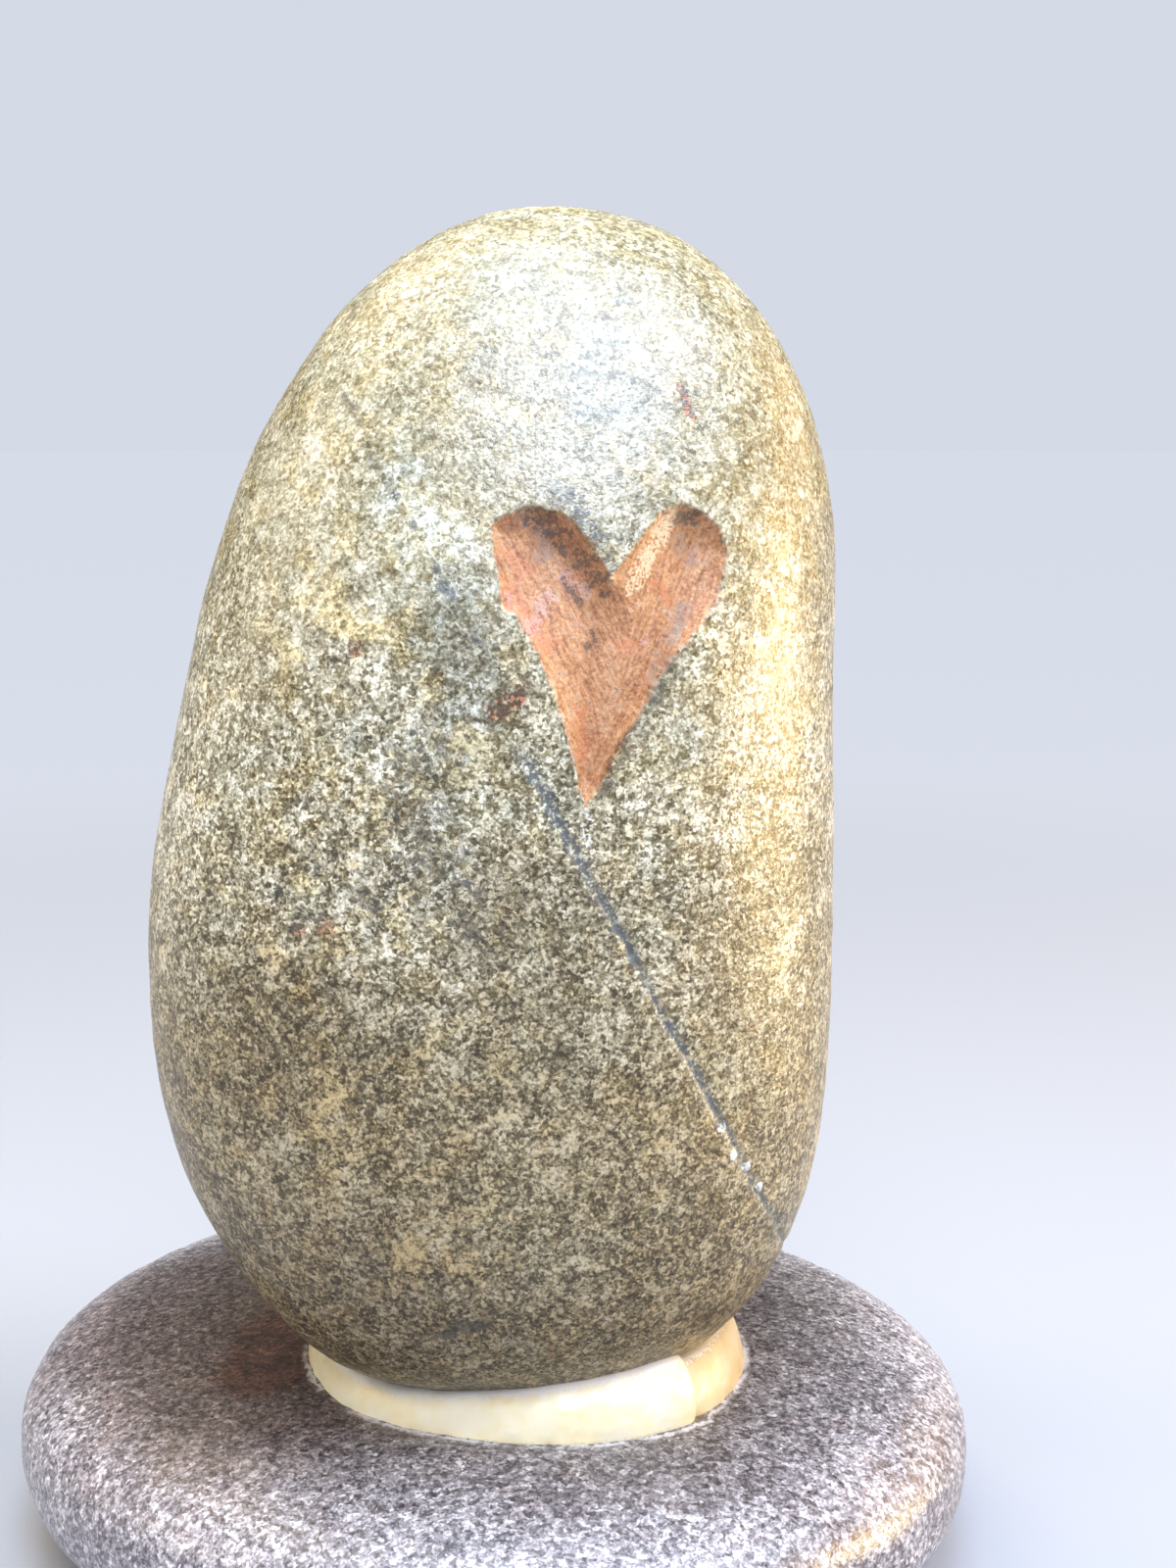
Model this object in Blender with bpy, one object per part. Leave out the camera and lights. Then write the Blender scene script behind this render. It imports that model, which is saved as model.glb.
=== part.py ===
"""A river rock with a heart carved in its front, stood on end on a flat pebble and held there by a ring of putty.

Metres, +Z up, the heart facing -Y. The origin is the middle of the underside, on the surface it all stands on.
"""
import math

import bmesh
import bpy
from mathutils import Vector, noise
from mathutils.bvhtree import BVHTree

# Clearance between pieces that touch
GAP = 0.0003

# The flat pebble underneath: its reach from the middle every 45 degrees, starting at +X and turning to +Y
BASE_HEIGHT = 0.0243
BASE_RIM_HEIGHT = 0.0125
BASE_REACH = (0.0532, 0.0516, 0.0552, 0.0576, 0.0542, 0.0503, 0.0516, 0.0539)
BASE_TOP_POWER = 3.1
BASE_LOW_POWER = 2.6
BASE_WORN_OFF = 0.0012
BASE_SEGMENTS = 52
BASE_RINGS = 20

# The standing rock: how far it reaches to each side of its axis, at levels evenly spaced from foot to crown
ROCK_HEIGHT = 0.1217
ROCK_LEFT = (0.0255, 0.0350, 0.0378, 0.0356, 0.0349, 0.0343)
ROCK_RIGHT = (0.0365, 0.0361, 0.0345, 0.0329, 0.0355, 0.0378)
ROCK_FRONT = 0.029
ROCK_BACK = 0.027
ROCK_AXIS_X_FOOT = -0.0006
ROCK_AXIS_X_CROWN = 0.0073
ROCK_AXIS_Y = -0.0098
ROCK_PLAN_POWER = 2.35
ROCK_FOOT_POWER = 3.9
ROCK_CROWN_POWER = 2.15
ROCK_SUBDIVISIONS = 5

# River wear: shallow dents round the sides, never proud of the form, as a share of the stone's reach
DENT_SHARE = 0.012
DENTS_ACROSS = 1.6

# The carved heart, from its middle: x to the right and z up, as seen from the front
HEART_X = 0.0132
HEART_Z = 0.1034
HEART_CLEFT = (0.0001, 0.0073)
HEART_LEFT_LOBE = (
    (-0.0021, 0.0111), (-0.0047, 0.0134), (-0.0076, 0.0139), (-0.0102, 0.0129), (-0.0110, 0.0113),
    (-0.0105, 0.0078),
)
HEART_NICK = ((-0.0099, 0.0045), (-0.0088, 0.0041))
HEART_LEFT_FLANK = ((-0.0059, -0.0014), (-0.0040, -0.0073), (-0.0030, -0.0116))
HEART_TIP = (-0.0023, -0.0139)
HEART_RIGHT_SIDE = (
    (-0.0002, -0.0106), (0.0022, -0.0062), (0.0054, -0.0007), (0.0089, 0.0033), (0.0106, 0.0062),
    (0.0109, 0.0097), (0.0098, 0.0123), (0.0074, 0.0139), (0.0050, 0.0135), (0.0028, 0.0111),
)
HEART_POINT_SPACING = 0.0019
# The two valleys of the carving, from the lobes down to where they meet and on to the tip
HEART_LEFT_VALLEY = (-0.0062, 0.0100)
HEART_RIGHT_VALLEY = (0.0066, 0.0098)
HEART_MEETING = (0.0002, 0.0010)
HEART_VALLEY_END = (-0.0021, -0.0122)
# How far in from the outline each step of the carving lies, and how deep it is there
CARVING_STEPS = ((0.0007, 0.0009), (0.0020, 0.0015), (0.0040, 0.0019))
CARVING_TOTAL_REACH = 0.92
CARVING_CLEARANCE = 0.002

# The putty: a rope laid round the foot, its thick end lapping over its start at the front right
RING_X = 0.0037
RING_Y = -0.0098
RING_BURIED = 0.0030
LAP_DEGREES = -38.0
LAP_LENGTH_DEGREES = 3.0
# Outer radius, width and height above the pebble, every 60 degrees from the thick end, clockwise from above
ROPE_REACHES = (0.0256, 0.0217, 0.0230, 0.0236, 0.0226, 0.0242, 0.0248)
ROPE_WIDTHS = (0.0098, 0.0080, 0.0072, 0.0074, 0.0074, 0.0078, 0.0086)
ROPE_HEIGHTS = (0.0072, 0.0036, 0.0038, 0.0042, 0.0050, 0.0046, 0.0050)
ROPE_STATIONS = 56
ROPE_SIDES = 10


def fresh_scene():
    """Remove what the scene holds."""
    for thing in list(bpy.data.objects):
        bpy.data.objects.remove(thing, do_unlink=True)


def collection(name):
    """A collection of that name, linked to the scene."""
    made = bpy.data.collections.new(name)
    bpy.context.scene.collection.children.link(made)
    return made


def material(name, colour, roughness, metallic=0.0):
    """A plain Principled material."""
    made = bpy.data.materials.new(name)
    made.use_nodes = True
    shader = made.node_tree.nodes["Principled BSDF"]
    shader.inputs["Base Color"].default_value = (*colour, 1.0)
    shader.inputs["Roughness"].default_value = roughness
    shader.inputs["Metallic"].default_value = metallic
    made.diffuse_color = (*colour, 1.0)
    return made


def object_from(bm, name, home, finish=None):
    """Close a bmesh into a named, smooth-shaded object in a collection."""
    bmesh.ops.recalc_face_normals(bm, faces=bm.faces[:])
    mesh = bpy.data.meshes.new(name)
    bm.to_mesh(mesh)
    bm.free()
    mesh.shade_smooth()
    if finish:
        mesh.materials.append(finish)
    made = bpy.data.objects.new(name, mesh)
    home.objects.link(made)
    return made


def between(values, place):
    """Catmull-Rom value at a place counted in steps along a list of numbers or vectors."""
    last = len(values) - 1
    start = min(max(int(place), 0), last - 1)
    part = place - start
    before = values[start - 1] if start > 0 else 2 * values[0] - values[1]
    after = values[start + 2] if start + 2 <= last else 2 * values[last] - values[last - 1]
    slope_start = (values[start + 1] - before) * 0.5
    slope_end = (after - values[start]) * 0.5
    bend = values[start] * (2 * part ** 3 - 3 * part ** 2 + 1)
    bend += values[start + 1] * (3 * part ** 2 - 2 * part ** 3)
    bend += slope_start * (part ** 3 - 2 * part ** 2 + part)
    return bend + slope_end * (part ** 3 - part ** 2)


def round_profile(direction, foot_power, crown_power):
    """Level from -1 at the foot to 1 at the crown, and spread from 0 on the axis to 1 at the rim."""
    flat = math.hypot(direction.x, direction.y)
    power = foot_power if direction.z < 0 else crown_power
    reach = (flat ** power + abs(direction.z) ** power) ** (-1 / power)
    return direction.z * reach, flat * reach


def worn(direction):
    """Share of its reach that wear has left a stone in one direction from its middle."""
    return 1 - DENT_SHARE * (0.5 + 0.5 * noise.noise(direction * DENTS_ACROSS))


def grow(bm, distance):
    """Move every face of a stone outwards."""
    bm.normal_update()
    moves = [vert.normal * distance for vert in bm.verts]
    for vert, move in zip(bm.verts, moves):
        vert.co += move


def rock_point(direction):
    """Place on the standing rock that lies in one direction from its middle."""
    level, spread = round_profile(direction, ROCK_FOOT_POWER, ROCK_CROWN_POWER)
    up = (level + 1) / 2
    across = Vector((direction.x, direction.y))
    across = across.normalized() if across.length > 1e-9 else Vector((1, 0))
    squared = (abs(across.x) ** ROCK_PLAN_POWER + abs(across.y) ** ROCK_PLAN_POWER) ** (-1 / ROCK_PLAN_POWER)
    sides = ROCK_LEFT if across.x < 0 else ROCK_RIGHT
    spread *= worn(direction)
    half_width = between(sides, up * (len(sides) - 1))
    half_depth = ROCK_FRONT if across.y < 0 else ROCK_BACK
    axis_x = ROCK_AXIS_X_FOOT + (ROCK_AXIS_X_CROWN - ROCK_AXIS_X_FOOT) * up
    x = axis_x + half_width * across.x * squared * spread
    y = ROCK_AXIS_Y + half_depth * across.y * squared * spread
    return Vector((x, y, BASE_HEIGHT + GAP + ROCK_HEIGHT * up))


def rock_form():
    """The whole rock, before it is carved."""
    bm = bmesh.new()
    bmesh.ops.create_icosphere(bm, subdivisions=ROCK_SUBDIVISIONS, radius=1.0)
    for vert in bm.verts:
        vert.co = rock_point(vert.co.normalized())
    return bm


def base_point(direction):
    """Place on the flat pebble that lies in one direction from its middle."""
    level, spread = round_profile(direction, BASE_LOW_POWER, BASE_TOP_POWER)
    turn = math.atan2(direction.y, direction.x) % math.tau
    wrapped = BASE_REACH[-2:] + BASE_REACH + BASE_REACH[:3]
    reach = between(wrapped, 2 + turn / math.tau * len(BASE_REACH)) * spread * worn(direction)
    if level > 0:
        z = BASE_RIM_HEIGHT + (BASE_HEIGHT - BASE_RIM_HEIGHT) * level
    else:
        z = BASE_RIM_HEIGHT + (BASE_RIM_HEIGHT + BASE_WORN_OFF) * level
    return Vector((reach * math.cos(turn), reach * math.sin(turn), z))


def base_form():
    """The flat pebble with its worn flat underside, centred on the origin."""
    bm = bmesh.new()
    bmesh.ops.create_uvsphere(bm, u_segments=BASE_SEGMENTS, v_segments=BASE_RINGS, radius=1.0)
    for vert in bm.verts:
        vert.co = base_point(vert.co.normalized())
    bottom = bmesh.ops.bisect_plane(
        bm, geom=bm.verts[:] + bm.edges[:] + bm.faces[:], dist=1e-7,
        plane_co=(0, 0, 0), plane_no=(0, 0, -1), clear_outer=True,
    )
    rim = [item for item in bottom["geom_cut"] if isinstance(item, bmesh.types.BMEdge)]
    bmesh.ops.contextual_create(bm, geom=rim)
    xs = [vert.co.x for vert in bm.verts]
    ys = [vert.co.y for vert in bm.verts]
    middle = Vector(((min(xs) + max(xs)) / 2, (min(ys) + max(ys)) / 2, 0))
    bmesh.ops.translate(bm, verts=bm.verts[:], vec=-middle)
    return bm


def smooth_run(corners):
    """Points along a smooth curve through the given ones, without the last."""
    knots = [Vector(corner) for corner in corners]
    length = sum((b - a).length for a, b in zip(knots, knots[1:]))
    count = max(1, round(length / HEART_POINT_SPACING))
    return [between(knots, (len(knots) - 1) * step / count) for step in range(count)]


def heart_outline():
    """The heart's outline, from the cleft round by the left lobe, the tip and the right lobe."""
    nick_top, nick_foot = HEART_NICK
    points = smooth_run((HEART_CLEFT, *HEART_LEFT_LOBE, nick_top))
    points += smooth_run((nick_top, nick_foot))
    points += smooth_run((nick_foot, *HEART_LEFT_FLANK, HEART_TIP))
    points += smooth_run((HEART_TIP, *HEART_RIGHT_SIDE, HEART_CLEFT))
    return points


def nearest_on(start, end, point):
    """Nearest place to a point on a straight line between two others."""
    line = end - start
    part = max(0.0, min(1.0, (point - start).dot(line) / line.length_squared))
    return start + line * part


def valley_of(point):
    """The place in the carving's valleys that this point of the outline slopes down to."""
    meeting = Vector(HEART_MEETING)
    if (point - Vector(HEART_CLEFT)).length < GAP:
        return meeting
    lobe = Vector(HEART_LEFT_VALLEY if point.x < HEART_CLEFT[0] else HEART_RIGHT_VALLEY)
    upper = nearest_on(lobe, meeting, point)
    lower = nearest_on(meeting, Vector(HEART_VALLEY_END), point)
    return min(upper, lower, key=lambda place: (place - point).length)


def loft(bm, rings):
    """Join rings of points, each with as many as the last, and close both ends."""
    made = [[bm.verts.new(place) for place in ring] for ring in rings]
    for near, far in zip(made, made[1:]):
        for step in range(len(near)):
            following = (step + 1) % len(near)
            bm.faces.new((near[step], near[following], far[following], far[step]))
    bm.faces.new(made[0])
    bm.faces.new(made[-1])


def carving_form(rock):
    """The solid that is cut away: the outline above the surface, stepping in to the valleys below it."""
    surface = BVHTree.FromBMesh(rock)

    def on_rock(point, depth):
        start = Vector((HEART_X + point.x, -1.0, HEART_Z + point.y))
        place, normal, _, _ = surface.ray_cast(start, Vector((0, 1, 0)))
        return place - normal * depth

    outline = heart_outline()
    rings = [[on_rock(point, -CARVING_CLEARANCE) for point in outline]]
    rings.append([on_rock(point, 0) for point in outline])
    for inset, depth in CARVING_STEPS:
        ring = []
        for point in outline:
            slope = valley_of(point) - point
            part = min(inset / slope.length, CARVING_TOTAL_REACH)
            ring.append(on_rock(point + slope * part, depth * part * slope.length / inset))
        rings.append(ring)
    bm = bmesh.new()
    loft(bm, rings)
    bmesh.ops.triangulate(bm, faces=bm.faces[:])
    return bm


def rope_form():
    """The putty rope before it is pressed between the stones: a ring that steps down where its end laps."""
    bpy.ops.mesh.primitive_torus_add(
        major_segments=ROPE_STATIONS, minor_segments=ROPE_SIDES, major_radius=1.0, minor_radius=0.25,
    )
    torus = bpy.context.object
    bm = bmesh.new()
    bm.from_mesh(torus.data)
    bpy.data.objects.remove(torus, do_unlink=True)
    for vert in bm.verts:
        round_ring = (-math.atan2(vert.co.y, vert.co.x) / math.tau) % 1.0
        station = round(round_ring * ROPE_STATIONS) % ROPE_STATIONS
        along = station / (ROPE_STATIONS - 1)
        place = along * (len(ROPE_HEIGHTS) - 1)
        height = between(ROPE_HEIGHTS, place) + RING_BURIED
        width = between(ROPE_WIDTHS, place)
        turn = math.radians(LAP_DEGREES - along * (360 - LAP_LENGTH_DEGREES))
        round_rope = math.atan2(vert.co.z, math.hypot(vert.co.x, vert.co.y) - 1.0)
        radius = between(ROPE_REACHES, place) - width / 2 * (1 - math.cos(round_rope))
        z = BASE_HEIGHT - RING_BURIED + height * (1 + math.sin(round_rope)) / 2
        vert.co = Vector((RING_X + radius * math.cos(turn), RING_Y + radius * math.sin(turn), z))
    return bm


def cut(piece, name, bm, home):
    """Cut a shape out of a piece with a Boolean, keeping the cutter as a guide."""
    cutter = object_from(bm, name, home)
    cutter.hide_render = True
    cutter.display_type = "WIRE"
    boolean = piece.modifiers.new(name, "BOOLEAN")
    boolean.operation = "DIFFERENCE"
    boolean.solver = "EXACT"
    boolean.object = cutter


def grown(bm):
    """A stone with the clearance added all over."""
    grow(bm, GAP)
    return bm


def build():
    """Build the three pieces."""
    fresh_scene()
    parts = collection("engraved_river_rock")
    cutters = collection("cutters")

    base_finish = material("mauve_pebble", (0.30, 0.26, 0.27), 0.75)
    object_from(base_form(), "base_stone", parts, base_finish)

    rock_finish = material("olive_river_stone", (0.33, 0.31, 0.22), 0.7)
    form = rock_form()
    carving = carving_form(form)
    rock = object_from(form, "engraved_rock", parts, rock_finish)
    cut(rock, "heart_carving", carving, cutters)

    putty_finish = material("cream_putty", (0.78, 0.68, 0.45), 0.45)
    ring = object_from(rope_form(), "putty_ring", parts, putty_finish)
    cut(ring, "room_for_the_rock", grown(rock_form()), cutters)
    cut(ring, "room_for_the_base", grown(base_form()), cutters)


build()
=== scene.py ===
"""The looks of a river rock with a carved and painted heart, held upright on a flat pebble by putty.

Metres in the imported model's frame: +Z up, the heart facing -Y. Patterns, marks and depths are in millimetres.
"""
import math
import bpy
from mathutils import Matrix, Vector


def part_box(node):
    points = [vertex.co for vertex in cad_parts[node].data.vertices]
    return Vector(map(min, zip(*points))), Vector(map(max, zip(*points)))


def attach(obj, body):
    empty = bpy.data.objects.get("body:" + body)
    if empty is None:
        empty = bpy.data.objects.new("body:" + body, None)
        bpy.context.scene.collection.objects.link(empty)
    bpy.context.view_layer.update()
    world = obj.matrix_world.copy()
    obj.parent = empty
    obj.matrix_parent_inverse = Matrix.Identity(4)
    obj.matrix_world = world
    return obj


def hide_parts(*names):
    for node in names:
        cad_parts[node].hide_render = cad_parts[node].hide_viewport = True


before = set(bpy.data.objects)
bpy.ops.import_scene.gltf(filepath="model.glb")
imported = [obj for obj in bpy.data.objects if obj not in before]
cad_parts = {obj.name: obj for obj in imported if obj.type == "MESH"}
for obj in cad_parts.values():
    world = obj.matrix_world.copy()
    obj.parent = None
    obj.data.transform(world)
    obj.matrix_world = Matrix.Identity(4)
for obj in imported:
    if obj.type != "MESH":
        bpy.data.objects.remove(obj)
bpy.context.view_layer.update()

from types import SimpleNamespace

import bmesh
import bpy
import numpy as np
from mathutils import Vector, noise
from mathutils.bvhtree import BVHTree

MM = 0.001

# The flat pebble: its reach from the middle every 45 degrees, starting at +X and turning to +Y
BASE_HEIGHT = 0.0243
BASE_RIM_HEIGHT = 0.0125
BASE_REACH = (0.0532, 0.0516, 0.0552, 0.0576, 0.0542, 0.0503, 0.0516, 0.0539)
BASE_TOP_POWER = 3.1
BASE_LOW_POWER = 2.6
BASE_WORN_OFF = 0.0012
# Its relief in millimetres
BASE_WAVES = 0.14
BASE_BUMPS = 0.05
BASE_PIT_DEPTH = 0.30
BASE_SCRATCH_DEPTH = 0.06

# The standing rock: how far it reaches to each side of its axis, at levels evenly spaced from foot to crown
ROCK_FOOT = 0.0246
ROCK_HEIGHT = 0.1217
ROCK_LEFT = (0.0255, 0.0350, 0.0378, 0.0356, 0.0349, 0.0343)
ROCK_RIGHT = (0.0365, 0.0361, 0.0345, 0.0329, 0.0355, 0.0378)
ROCK_FRONT = 0.029
ROCK_BACK = 0.027
ROCK_AXIS_X_FOOT = -0.0006
ROCK_AXIS_X_CROWN = 0.0073
ROCK_AXIS_Y = -0.0098
ROCK_PLAN_POWER = 2.35
ROCK_FOOT_POWER = 3.9
ROCK_CROWN_POWER = 2.15
DENT_SHARE = 0.012
DENTS_ACROSS = 1.6
# Its relief in millimetres: long waves, small bumps that are higher low down and where it is rough, and marks
WAVES = 0.16
BUMPS = 0.03
BUMPS_LOW_DOWN = 0.045
BUMPS_WHERE_ROUGH = 0.06
PIT_DEPTH = 0.42
RUST_PIT_DEPTH = 0.35
DARK_PIT_DEPTH = 0.25
SCRATCH_DEPTH = 0.10
CRYSTAL_HEIGHT = 0.10

# The carved heart in millimetres from its middle: x to the right and z up, as seen from the front
HEART_X = 13.2
HEART_Z = 103.4
HEART_CLEFT = (0.1, 7.3)
HEART_LEFT_LOBE = (
    (-2.1, 11.1), (-4.7, 13.4), (-7.6, 13.9), (-10.2, 12.9), (-11.0, 11.3), (-10.5, 7.8),
)
HEART_NICK = ((-9.9, 4.5), (-8.8, 4.1))
HEART_LEFT_FLANK = ((-5.9, -1.4), (-4.0, -7.3), (-3.0, -11.6))
HEART_TIP = (-2.3, -13.9)
HEART_RIGHT_SIDE = (
    (-0.2, -10.6), (2.2, -6.2), (5.4, -0.7), (8.9, 3.3), (10.6, 6.2), (10.9, 9.7), (9.8, 12.3), (7.4, 13.9),
    (5.0, 13.5), (2.8, 11.1),
)
HEART_POINT_SPACING = 0.5
LEFT_VALLEY = ((-4.9, 10.2), (-3.8, 6.9), (-1.4, 3.4), (-0.7, 1.7), (-1.2, 0.8), (-1.8, -2.3), (-2.2, -12.4))
RIGHT_VALLEY = ((7.9, 10.2), (6.8, 6.0), (5.2, 2.1), (3.9, -1.2), (1.7, -5.5), (-0.5, -9.9), (-2.2, -12.4))
EDGE_STEP = 0.6
EDGE_STEP_WIDTH = 0.65
VALLEY_DEPTH = 1.3
VALLEY_SLOPE_POWER = 1.4
STREAK_DEPTH = 0.07
RAGGED_EDGE = 0.22
BEHIND_THE_FRONT = -50.0

# The vein is a sheet through the whole stone: the way it faces, and its distance from the origin
VEIN_FACING = (0.8819, 0.0921, 0.4623)
VEIN_LEVEL = 44.82
VEIN_MIDDLE_Z = 66
VEIN_HALF_HEIGHTS = (26, 31)
VEIN_BACKMOST_Y = -12
VEIN_GROOVE = 0.16
VEIN_HALF_WIDTH = 0.32

# The putty rope: outer reach, width and height every 60 degrees from the thick end, clockwise from above
RING_X = 0.0037
RING_Y = -0.0098
ROPE_SUNK = 0.0065
LAP_DEGREES = -38.0
ROPE_TURN_DEGREES = 357.0
TAIL_TURN_DEGREES = 14.0
ROPE_REACHES = (0.0256, 0.0217, 0.0230, 0.0236, 0.0226, 0.0242, 0.0248)
ROPE_WIDTHS = (0.0098, 0.0080, 0.0072, 0.0074, 0.0074, 0.0078, 0.0086)
ROPE_HEIGHTS = (0.0072, 0.0036, 0.0038, 0.0042, 0.0050, 0.0046, 0.0050)
ROPE_MIDDLE_REACH = 0.021
TAIL_THINS_BY = 0.004
FINGER_DENTS = (0.00035, 0.00012)
TOUCHING_ROCK = 0.0016
# Where the band of painted shade along the putty's foot lies below the pebble's top, and its reach
FOOT_SHADE_BELOW_TOP = 0.0009
FOOT_SHADE_REACH = 0.0008
BACK_BEGINS = 3.5

# The camera stands where the photograph was taken from
CAMERA_PLACE = (0.0111, -0.2368, 0.1255)
CAMERA_TILT_DEGREES = 9.585
LENS_MM = 50.0
SENSOR_MM = 36.0

# The studio: each light's name, place, width and height, power in watts and colour
LIGHTS = (
    ("overhead", (0.00, -0.10, 0.85), (0.45, 0.45), 5.3, (0.68, 0.85, 1.00)),
    ("high_front", (0.03, -0.63, 0.71), (0.50, 0.50), 4.7, (0.94, 0.89, 0.98)),
    ("high_left", (-0.35, -0.20, 0.80), (0.45, 0.45), 1.7, (0.95, 0.88, 0.80)),
    ("high_right", (0.42, -0.20, 0.74), (0.35, 0.35), 6.3, (0.82, 0.88, 1.00)),
    ("warm_right", (0.75, 0.02, 0.20), (0.35, 0.35), 2.3, (1.00, 0.55, 0.12)),
    ("warm_right_back", (0.60, 0.40, 0.35), (0.35, 0.35), 1.5, (1.00, 0.62, 0.24)),
    ("warm_left_back", (-0.35, 0.30, 0.75), (0.45, 0.45), 2.6, (1.00, 0.76, 0.42)),
    ("left", (-0.72, -0.06, 0.42), (0.40, 0.40), 2.0, (1.00, 0.79, 0.56)),
)
# These show only as a sheen: a cool one high in front, and a warm one low down to the right
SHEENS = (
    ("cool_sheen", (0.18, -0.60, 0.79), (0.34, 0.62), 11.0, (0.36, 0.60, 1.00)),
    ("warm_sheen", (0.38, -0.05, 0.02), (0.28, 0.26), 3.2, (1.00, 0.74, 0.38)),
)
LIGHT_TARGET = (0.0, -0.01, 0.10)
FILL_LIGHT = (0.18, 0.18, 0.18)
PALE_FLOOR = (0.37, 0.40, 0.46)
PALE_BACKDROP = (0.66, 0.70, 0.79)
FLOOR_RADIUS = 8.0
FLOOR_FADES_MM = (90.0, 560.0)

# Patterns of one size are kept apart by this shift in millimetres for each step of their offset
PATTERN_STEP = (37.0, 53.0, -41.0)
SAND_MM = 0.62
SILT_MM = 0.34
GRAIN_BUMP_MM = 0.32
GRAIN_BUMP_STRENGTH = 0.50

# Colours from the darkest tone of each finish to its palest
SANDSTONE_TONES = (
    (0.24, (0.060, 0.045, 0.019)), (0.38, (0.168, 0.136, 0.066)), (0.50, (0.338, 0.304, 0.190)),
    (0.62, (0.620, 0.570, 0.400)), (0.78, (0.950, 0.895, 0.700)),
)
PAINT_TONES = (
    (0.24, (0.165, 0.062, 0.024)), (0.41, (0.360, 0.155, 0.062)), (0.54, (0.530, 0.256, 0.106)),
    (0.74, (0.740, 0.490, 0.262)),
)
MAUVE_TONES = (
    (0.26, (0.020, 0.018, 0.019)), (0.40, (0.080, 0.071, 0.074)), (0.50, (0.182, 0.166, 0.173)),
    (0.60, (0.330, 0.312, 0.318)), (0.76, (0.760, 0.755, 0.755)),
)
CREAM_TONES = ((0.35, (0.91, 0.79, 0.46)), (0.5, (0.95, 0.89, 0.60)), (0.65, (0.96, 0.94, 0.74)))


class Value:
    """A socket of a material, whose arithmetic in Python adds Math nodes."""

    def __init__(self, finish, socket):
        self.finish = finish
        self.socket = socket

    def math(self, operation, first, second=0.0):
        return self.finish.add("ShaderNodeMath", {"operation": operation}, {0: first, 1: second})

    def __add__(self, other):
        return self.math("ADD", self, other)

    def __sub__(self, other):
        return self.math("SUBTRACT", self, other)

    def __rsub__(self, other):
        return self.math("SUBTRACT", other, self)

    def __mul__(self, other):
        return self.math("MULTIPLY", self, other)

    __radd__ = __add__
    __rmul__ = __mul__


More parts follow.
